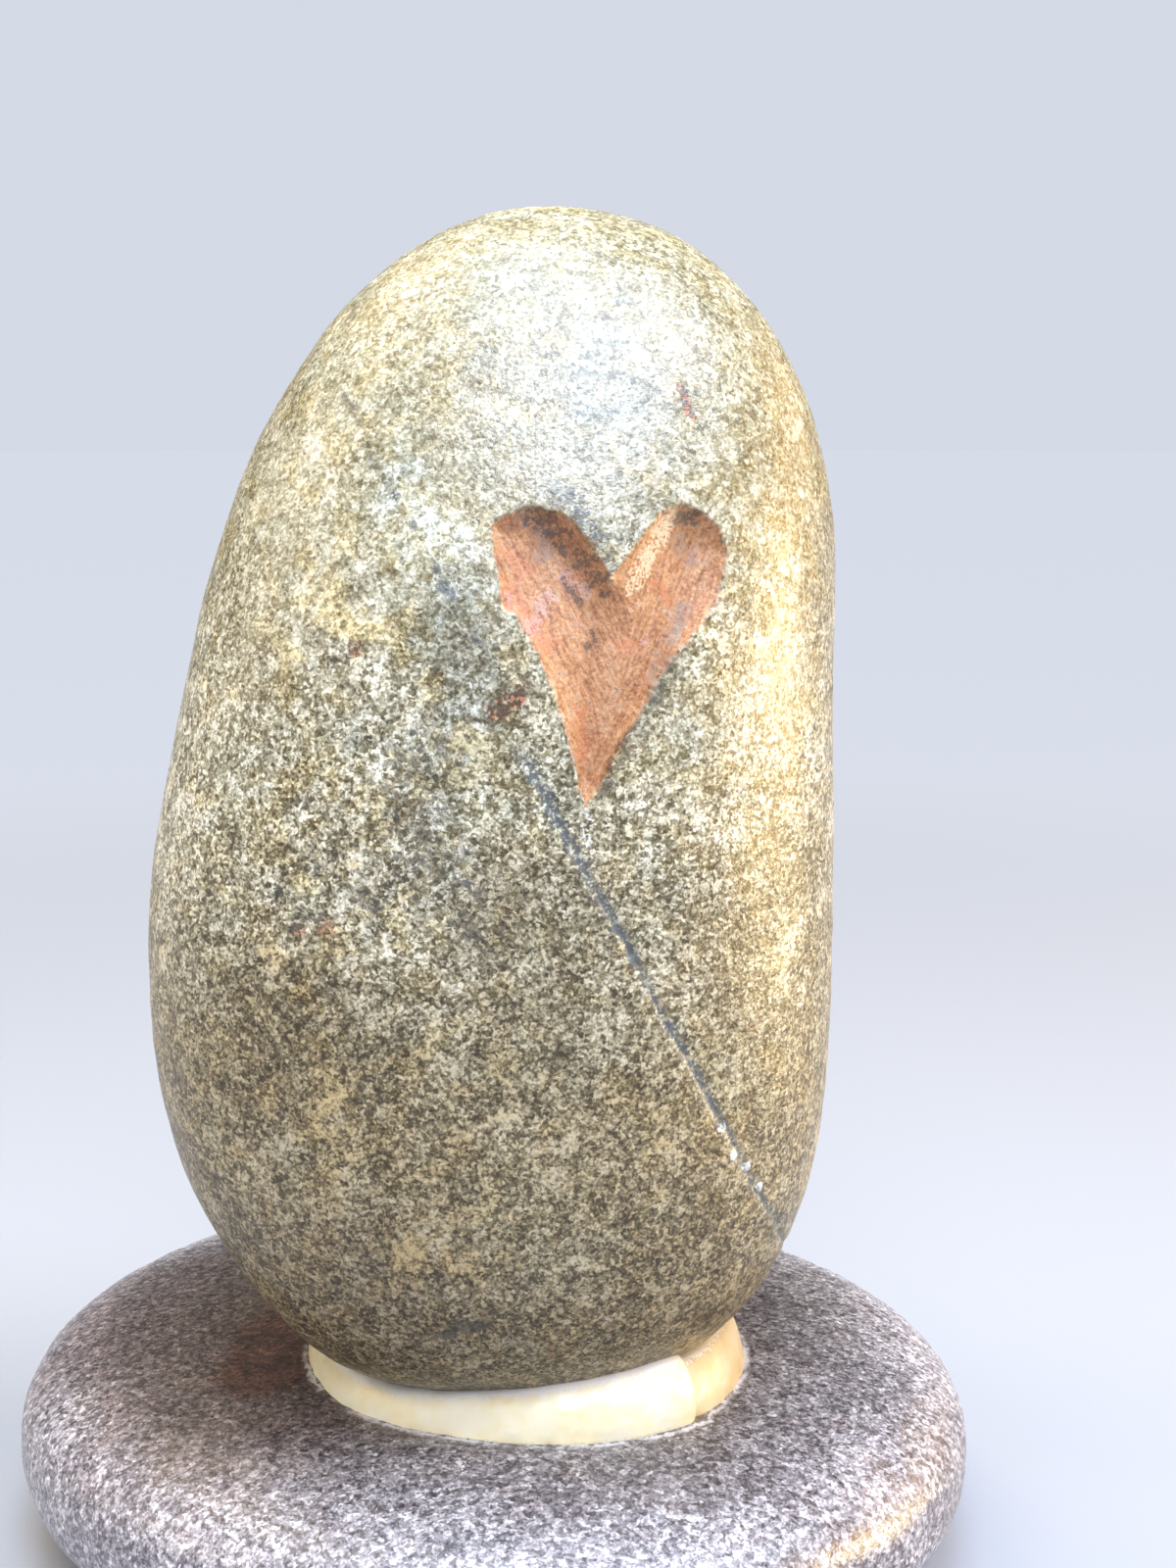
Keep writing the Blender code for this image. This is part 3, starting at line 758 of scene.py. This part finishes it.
def veined(finish, skin, stone):
    """The dark vein, thinner low down, with a bluish edge on both sides."""
    rise, blend = finish.rise, finish.blend
    off_line = finish.add("ShaderNodeMath", {"operation": "ABSOLUTE"}, {0: finish.attribute("vein_offset")})
    vein = finish.attribute("vein")
    thin = 1.0 - rise(skin.level, 62.0, 92.0) * 0.55
    powder, grit, lumps = skin.fine - 0.5, skin.grain - 0.5, skin.clump - 0.5
    line = rise(off_line * thin + powder * 1.8 + grit * 1.6 + lumps * 1.1, 0.30, -0.04)
    stone = blend(line * vein * 0.85, stone, (0.050, 0.062, 0.072))
    beside = rise(off_line + grit * 2.0 + powder * 1.0, 0.90, 0.10) * vein
    return blend(beside * 0.25, stone, (0.26, 0.31, 0.34))


def rock_finish():
    """Fine-grained olive sandstone with its vein and marks, and the worn paint in the heart."""
    finish = Finish("olive_river_stone", {"IOR": 1.55})
    noise_of, rise = finish.noise, finish.rise
    skin = sandy(
        finish, grain=noise_of(0.85, 4.0, 0.68, 3.0), clump=noise_of(2.1, 3.0, 0.62, 9.0),
        cluster=noise_of(4.6, 3.0, 0.6, 5.0), patch=noise_of(17.0, 2.0, 0.5, 8.0),
        pale=finish.attribute("pale"), rough=finish.attribute("rough"),
        across=finish.part(finish.place, "X"), up=finish.part(finish.place, "Z"),
    )
    skin.level = skin.up + (skin.patch - 0.5) * 40.0
    skin.polished = polished = rise(skin.level, 84.0, 122.0)
    crust = rise(skin.clump * 0.5 + skin.cluster * 0.5 + skin.pale * 0.12, 0.52, 0.66)
    skin.crust = crust * (1.0 - polished * 0.6)

    stone = veined(finish, skin, specks(finish, skin, sandstone(finish, skin)))
    paint, painted = paint_in_heart(finish, stone, skin)
    colour = finish.blend(painted, stone, paint)
    gloss = 0.37 + (skin.grain - 0.5) * 0.36 + skin.rough * 0.10 - polished * 0.08 + painted * 0.32
    height = skin.fine * 0.45 + skin.grain * 0.50 + skin.sand * 0.16 - skin.sand_middle * 0.10
    height = height + skin.clump * (0.9 - polished * 0.6 + skin.rough * 0.9)
    normal = finish.bump(height, GRAIN_BUMP_MM, GRAIN_BUMP_STRENGTH)
    return finish.drive(base_color=colour, roughness=gloss, normal=normal)


def rock_mesh():
    """The standing rock before its marks, with finer faces where the heart, vein and cracks need them."""
    bm = bmesh.new()
    bmesh.ops.create_icosphere(bm, subdivisions=7, radius=1.0)

    def beside_vein(places, reach):
        return (np.abs(vein_offset(places)) < reach) & (open_vein(places) > 0)

    def needs_half(places):
        rough = away_from(ROUGH_PATCH, places) < 12
        marks = away_from(FOOT_CREVICE, places) < 2
        return (into_heart(places) > -1.8) | beside_vein(places, 1.3) | rough | marks

    def needs_quarter(places):
        marks = (away_from(FOOT_CREVICE, places) < 1.2) | (away_from(LONG_HOLLOW, places) < 1.6)
        return (into_heart(places) > -1.0) | beside_vein(places, 0.8) | marks

    def needs_eighth(places):
        return np.abs(into_heart(places)) < 0.6

    for wanted in (needs_half, needs_quarter, needs_eighth):
        refine(bm, rock_point, wanted)
    for vert in bm.verts:
        vert.co = rock_point(vert.co)
    return bm


def rock_marks(places, undulation, small):
    """Height in millimetres and masks of the single marks on the rock's front."""
    height = np.zeros(len(places))
    rust = 0.74 * fade(away_from(RUST_MARK, places) + 0.4 * small, 0.2, 2.1)
    for place in RUST_PITS:
        spot = np.linalg.norm(places - place, axis=1)
        height -= RUST_PIT_DEPTH * fade(spot, 0.2, 1.1)
        rust = np.maximum(rust, 0.66 * fade(spot, 0.1, 2.0))
    scratch = away_from(SCRATCH, places)
    height -= SCRATCH_DEPTH * fade(scratch, 0.0, 0.5)
    rust = np.maximum(rust, 1.5 * fade(scratch, 0.1, 0.6))

    dark = np.zeros(len(places))
    for path, strength, by_bumps, by_waves, edge in DARK_STAINS:
        distance = away_from(path, places) + by_bumps * small + by_waves * undulation
        dark = np.maximum(dark, strength * fade(distance, *edge))
    for path, by_bumps, deep, hollowed, strength, darkened in CRACKS:
        distance = away_from(path, places) + by_bumps * small
        height -= deep * fade(distance, *hollowed)
        dark = np.maximum(dark, strength * fade(distance, *darkened))
    for place in DARK_PITS:
        pit = fade(np.linalg.norm(places - place, axis=1), 0.1, 0.9)
        height -= DARK_PIT_DEPTH * pit
        dark = np.maximum(dark, 0.8 * pit)

    pale = fade(away_from(WORN_TOP, places), 1.0, 3.5)
    for place, reach, strength in PALE_CLUSTERS:
        distance = np.linalg.norm(places - place, axis=1) + 1.6 * undulation
        pale = np.maximum(pale, strength * fade(distance, reach * 0.3, reach * 1.5))
    beside_crevice = away_from(UPPER_CREVICE, places + (0.8, 0, -0.3))
    white = 0.45 * fade(beside_crevice, 0.1, 0.9)
    white = np.maximum(white, 0.42 * fade(away_from(OVERRUN, places), 0.1, 1.4))
    for place in CRYSTALS:
        spot = np.linalg.norm(places - place, axis=1)
        white = np.maximum(white, fade(spot, 0.2, 0.85))
        height += CRYSTAL_HEIGHT * fade(spot, 0.1, 0.7)
    seam = 0.70 * fade(away_from(SEAM, places), 0.05, 1.2)
    band = 0.9 * fade(away_from(BLUE_BAND, places) + 1.8 * undulation, 0.5, 6.5)
    return height, {"rust": rust, "dark": dark, "pale": pale, "white": white, "seam": seam, "band": band}


def engraved_rock(finish):
    """The standing rock, with its pits, vein, crevices and carved heart in the mesh; returns its surface."""
    bm = rock_mesh()
    places = places_of(bm)
    undulation = cloud(places, 9.0, 1.0)
    small = cloud(places, 2.4, 2.0, 2)
    height, masks = rock_marks(places, undulation, small)

    flat = places[:, (0, 2)] - (HEART_X, HEART_Z)
    inside = into_heart(places)
    near_heart = inside > -2.5
    coarse_edge = only_where(near_heart, places, lambda near: cloud(near, 1.3, 5.2))
    fine_edge = only_where(near_heart, places, lambda near: cloud(near, 0.45, 6.1))
    inside = inside + RAGGED_EDGE * (coarse_edge + 0.5 * fine_edge)
    clear = fade(inside, -0.6, 0.2)

    rough = fade(away_from(ROUGH_PATCH, places) + 3 * undulation, 5.0, 12.0)
    hollow = only_where(rough > 0.02, places, lambda near: pits(near, 3.4, 0.3, 0.55))
    low_down = fade(places[:, 2], 86.0, 108.0)
    bumps = BUMPS + BUMPS_LOW_DOWN * low_down + BUMPS_WHERE_ROUGH * rough
    height += (WAVES * undulation + bumps * small - PIT_DEPTH * rough * hollow) * clear
    offset = vein_offset(places) + 0.35 * cloud(places, 6.0, 4.0) + 0.12 * cloud(places, 1.1, 4.5)
    vein = open_vein(places)
    height -= VEIN_GROOVE * vein * np.exp(-(offset / VEIN_HALF_WIDTH) ** 2) * clear
    height -= carve(inside, flat, only_where(near_heart, flat, tool_streaks))

    mottle = only_where(near_heart, places, lambda near: cloud(near, 0.9, 7.7))
    for name, paths, _, _ in PAINT_COATS:
        masks[name] = strokes(flat, paths, mottle) * near_heart
    # The hollows of the rough patch are darkened: painted shade in the pits
    masks["dark"] = np.maximum(masks["dark"], 0.5 * rough * hollow)
    masks["inside"] = np.clip(inside, -3, 6)
    masks["left_lobe"] = away_from(LEFT_VALLEY, flat) < away_from(RIGHT_VALLEY, flat)
    masks["rough"] = rough
    masks["vein"] = vein
    masks["vein_offset"] = np.clip(offset, -8, 8)
    swell(bm, height)
    surface = BVHTree.FromBMesh(bm)
    rock = piece(bm, "engraved_rock_visual", finish, masks)
    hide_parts("engraved_rock")
    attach(rock, "root")
    return surface


def past_the_rope(places):
    """How far outside the putty's foot each place on the pebble is, in millimetres."""
    across = places[:, 0] - RING_X / MM
    forward = places[:, 1] - RING_Y / MM
    turn = (LAP_DEGREES - np.degrees(np.arctan2(forward, across))) % 360
    reach = np.array([rope_bulk(angle / ROPE_TURN_DEGREES * (len(ROPE_REACHES) - 1))[0] for angle in turn])
    return np.hypot(across, forward) - reach / MM


def base_finish():
    """Fine mauve-grey stone with the putty's residue, a painted reddish reflection beside it, painted warm
    shade on its left, and a paler rim that is partly a painted sky sheen.
    """
    finish = Finish("mauve_pebble", {"IOR": 1.6})
    noise_of, rise, blend, broken = finish.noise, finish.rise, finish.blend, finish.broken
    skin = sandy(
        finish, grain=noise_of(0.85, 4.0, 0.7, 3.0), cluster=noise_of(4.0, 3.0, 0.6, 5.0),
        patch=noise_of(18.0, 2.0, 0.5, 9.0),
    )
    fine, grain, cluster = skin.fine, skin.grain, skin.cluster
    rim = finish.attribute("rim")
    tone = skin.sand * 0.18 + skin.silt * 0.18 + fine * 0.36 + grain * 0.38
    tone = tone + cluster * 0.18 + skin.patch * 0.14 - 0.21
    stone = finish.ramp(tone, *MAUVE_TONES)
    # Darker over the top and paler, bluer on the rim: the rim's pallor is partly a painted sky sheen
    stone = blend(1.0, stone, blend(rim, (0.735, 0.735, 0.745), (1.53, 1.58, 1.72)), "MULTIPLY")
    stone = blend(rise(noise_of(3.0, 3.0, 0.6, 12.0), 0.5, 0.7) * 0.4, stone, (1.0, 0.86, 0.82), "MULTIPLY")
    # Painted warm shade over the left of the pebble's top
    brown = broken(finish.attribute("brown"), (cluster, 0.8), low=0.0, high=1.0)
    stone = blend(brown * 0.9, stone, (0.52, 0.43, 0.40), "MULTIPLY")
    # A painted reddish reflection near the putty on the left
    stain = broken(finish.attribute("stain"), (grain, 0.7), low=0.2, high=0.9)
    stone = blend(stain * 0.7, stone, (0.62, 0.20, 0.09), "MULTIPLY")
    past = finish.attribute("past_rope")
    edge = past + (grain - 0.5) * 1.6 + (fine - 0.5) * 0.9 + (cluster - 0.5) * 1.4
    residue = rise(edge, -0.15, 0.10) * rise(edge, 0.80, 0.30)
    stone = blend(residue * rise(cluster, 0.36, 0.54) * 0.7, stone, (0.72, 0.72, 0.76))
    # Painted shade in the crease just inside the putty's foot
    crease_shade = rise(past + (fine - 0.5) * 0.5, 0.05, -0.25)
    stone = blend(crease_shade * 0.5, stone, (0.14, 0.125, 0.085))
    scratch = broken(finish.attribute("scratch") * 0.8, (fine, 1.4), (grain, 1.0))
    stone = blend(scratch * 0.55, stone, (0.76, 0.74, 0.76))
    gloss = 0.34 + (grain - 0.5) * 0.30 - rim * 0.04
    height = fine * 0.40 + grain * 0.50 + skin.sand * 0.20 - skin.sand_middle * 0.12
    normal = finish.bump(height, GRAIN_BUMP_MM, GRAIN_BUMP_STRENGTH)
    return finish.drive(base_color=stone, roughness=gloss, normal=normal)


def base_stone(finish):
    """The flat pebble, with its worn flat underside."""
    bm = bmesh.new()
    bmesh.ops.create_icosphere(bm, subdivisions=7, radius=1.0)
    refine(bm, base_point, lambda places: (np.abs(past_the_rope(places)) < 2.2) & (places[:, 2] > 15))
    for vert in bm.verts:
        vert.co = base_point(vert.co)
    low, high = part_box("base_stone")
    xs = [vert.co.x for vert in bm.verts]
    ys = [vert.co.y for vert in bm.verts]
    bmesh.ops.translate(bm, verts=bm.verts[:], vec=(
        (low.x + high.x - min(xs) - max(xs)) / 2, (low.y + high.y - min(ys) - max(ys)) / 2, 0,
    ))
    places = places_of(bm)
    undulation = cloud(places, 10.0, 11.0)
    small = cloud(places, 2.6, 12.0, 2)
    past = past_the_rope(places)
    beside = fade(np.abs(past), 1.5, 5.0)
    height = (BASE_WAVES * undulation + BASE_BUMPS * small) * (1 - 0.7 * beside)
    height -= BASE_PIT_DEPTH * pits(places, 6.5, 4.4, 0.16)
    scratch = fade(away_from(BASE_SCRATCH, places) + 0.1 * small, 0.05, 0.6)
    height -= BASE_SCRATCH_DEPTH * scratch
    stain = fade(away_from(RED_REFLECTION, places) + 2.0 * undulation, 1.0, 9.0)
    brown = fade(away_from(SHADED_LEFT_SIDE, places) + 3.0 * undulation, 5.0, 34.0)
    rim = fade(places[:, 2] + 0.5 * undulation, 19.5, 23.6)
    swell(bm, height)
    for vert in bm.verts:
        vert.co.z = max(vert.co.z, 0.0)
    past = np.clip(past, -6, 8)
    masks = {"past_rope": past, "scratch": scratch, "stain": stain, "brown": brown, "rim": rim}
    base = piece(bm, "base_stone_visual", finish, masks)
    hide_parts("base_stone")
    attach(base, "root")


def putty_finish():
    """Cured two-part putty: waxy cream, a little see-through, with grit and dark specks of dust, and painted
    shade along its foot.
    """
    finish = Finish("cream_putty", {
        "IOR": 1.5, "Subsurface Weight": 0.1, "Subsurface Scale": 0.002, "Subsurface Radius": (1.0, 0.8, 0.4),
    })
    noise_of, rise, blend = finish.noise, finish.rise, finish.blend
    cloudy = noise_of(6.0, 3.0, 0.5, 2.0)
    mottled = noise_of(1.2, 3.0, 0.6, 4.0)
    cream = finish.ramp(cloudy * 0.7 + mottled * 0.3, *CREAM_TONES)
    cream = blend(finish.attribute("behind") * 0.9, cream, (0.75, 0.66, 0.58), "MULTIPLY")
    grit = noise_of(0.35, 2.0, 0.6, 6.0)
    contact = finish.attribute("contact")
    cream = blend(rise(contact + (grit - 0.5) * 1.6, 0.30, 0.60) * 0.9, cream, (0.96, 0.97, 0.95))
    # Painted shade in the crease along the putty's foot, where it meets the pebble
    foot = finish.attribute("foot")
    cream = blend(rise(foot + (grit - 0.5) * 0.8, 0.55, 1.0) * 0.5, cream, (0.52, 0.45, 0.26))
    speck_pick, speck_middle = finish.grains(4.0, 1.0)
    speck = rise(speck_middle, 0.09, 0.05) * rise(speck_pick, 0.86, 0.88)
    cream = blend(speck * 0.8, cream, (0.16, 0.11, 0.06))
    gloss = 0.33 + (mottled - 0.5) * 0.2 + contact * 0.2
    height = cloudy * 0.5 + mottled * 0.3 + grit * 0.1
    return finish.drive(base_color=cream, roughness=gloss, normal=finish.bump(height, 0.25, 0.35))


def putty_ring(finish, rock_surface):
    """One rope laid round the rock's foot: its thick end rests on its thin tail at the front right."""
    bm = bmesh.new()
    bmesh.ops.create_uvsphere(bm, u_segments=64, v_segments=380, radius=1.0)
    turns = ROPE_TURN_DEGREES + TAIL_TURN_DEGREES
    length = math.radians(turns) * ROPE_MIDDLE_REACH
    last = len(ROPE_REACHES) - 1
    masks = {"contact": [], "foot": [], "behind": []}
    for vert in bm.verts:
        down = math.acos(max(-1.0, min(1.0, vert.co.z))) / math.pi
        round_rope = math.atan2(vert.co.y, vert.co.x)
        place = down * turns / ROPE_TURN_DEGREES * last
        reach, width, height = rope_bulk(place)
        tail = max(0.0, place - last)
        reach -= tail * TAIL_THINS_BY
        height -= tail * TAIL_THINS_BY
        thick_end = min(1.0, down * length / (width * 0.30))
        thin_end = min(1.0, (1 - down) * length / (width * 0.5))
        end = math.sqrt(1 - (1 - thick_end) ** 2.6) * math.sqrt(1 - (1 - thin_end) ** 2)
        turn = math.radians(LAP_DEGREES - down * turns)
        out, up = math.cos(round_rope), math.sin(round_rope)
        spot = Vector((math.cos(turn), math.sin(turn), 0.4 * up)) * 4.0
        pressed = FINGER_DENTS[0] * noise.noise(spot) + FINGER_DENTS[1] * noise.noise(spot * 3.1)
        radius = reach - width / 2 + (width / 2 * out + pressed * out) * end
        tall = height + ROPE_SUNK
        z = BASE_HEIGHT - ROPE_SUNK + tall / 2 + (tall / 2 * up + pressed * up) * end
        vert.co = Vector((RING_X + radius * math.cos(turn), RING_Y + radius * math.sin(turn), z))
        masks["contact"].append(1 - min(1.0, rock_surface.find_nearest(vert.co)[3] / TOUCHING_ROCK))
        masks["foot"].append(max(0.0, 1 - abs(z - BASE_HEIGHT + FOOT_SHADE_BELOW_TOP) / FOOT_SHADE_REACH))
        masks["behind"].append(max(0.0, min(1.0, place - BACK_BEGINS)))
    ring = piece(bm, "putty_ring_visual", finish, masks)
    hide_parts("putty_ring")
    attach(ring, "root")


def studio():
    """A pale floor that runs into a pale backdrop, soft lights round the stone, and the camera."""
    bm = bmesh.new()
    bmesh.ops.create_circle(bm, cap_ends=True, segments=96, radius=FLOOR_RADIUS)
    floor_finish = Finish("pale_floor", {"Roughness": 0.8, "Emission Strength": 1.0})
    away = floor_finish.add("ShaderNodeVectorMath", {"operation": "LENGTH"}, {0: floor_finish.place}, "Value")
    far = floor_finish.rise(away, *FLOOR_FADES_MM)
    colour = floor_finish.blend(far, PALE_FLOOR, (0.0, 0.0, 0.0))
    glow = floor_finish.blend(far, (0.0, 0.0, 0.0), PALE_BACKDROP)
    floor = piece(bm, "floor", floor_finish.drive(base_color=colour, emission_color=glow))

    world = bpy.data.worlds.new("soft_room")
    world.use_nodes = True
    nodes = world.node_tree.nodes
    links = world.node_tree.links
    fill = nodes["Background"]
    fill.inputs["Color"].default_value = (*FILL_LIGHT, 1.0)
    backdrop = nodes.new("ShaderNodeBackground")
    backdrop.inputs["Color"].default_value = (*PALE_BACKDROP, 1.0)
    seen = nodes.new("ShaderNodeLightPath")
    either = nodes.new("ShaderNodeMixShader")
    links.new(seen.outputs["Is Camera Ray"], either.inputs[0])
    links.new(fill.outputs[0], either.inputs[1])
    links.new(backdrop.outputs[0], either.inputs[2])
    links.new(either.outputs[0], nodes["World Output"].inputs["Surface"])
    bpy.context.scene.world = world

    for lamps, lights_all in ((LIGHTS, True), (SHEENS, False)):
        for name, place, (width, height), power, colour in lamps:
            lamp = bpy.data.lights.new(name, "AREA")
            lamp.shape = "ELLIPSE"
            lamp.size = width
            lamp.size_y = height
            lamp.energy = power
            lamp.color = colour
            made = bpy.data.objects.new(name, lamp)
            made.location = place
            facing = Vector(LIGHT_TARGET) - Vector(place)
            made.rotation_euler = facing.to_track_quat("-Z", "Y").to_euler()
            made.visible_camera = False
            made.visible_diffuse = lights_all
            bpy.context.collection.objects.link(made)

    eye = bpy.data.cameras.new("camera")
    eye.lens = LENS_MM
    eye.sensor_fit = "VERTICAL"
    eye.sensor_height = SENSOR_MM
    eye.clip_start = 0.01
    camera = bpy.data.objects.new("camera", eye)
    camera.location = CAMERA_PLACE
    camera.rotation_euler = (math.radians(90 - CAMERA_TILT_DEGREES), 0, 0)
    bpy.context.collection.objects.link(camera)
    bpy.context.scene.camera = camera
    bpy.context.scene.view_settings.view_transform = "Standard"


studio()
base_stone(base_finish())
putty_ring(putty_finish(), engraved_rock(rock_finish()))
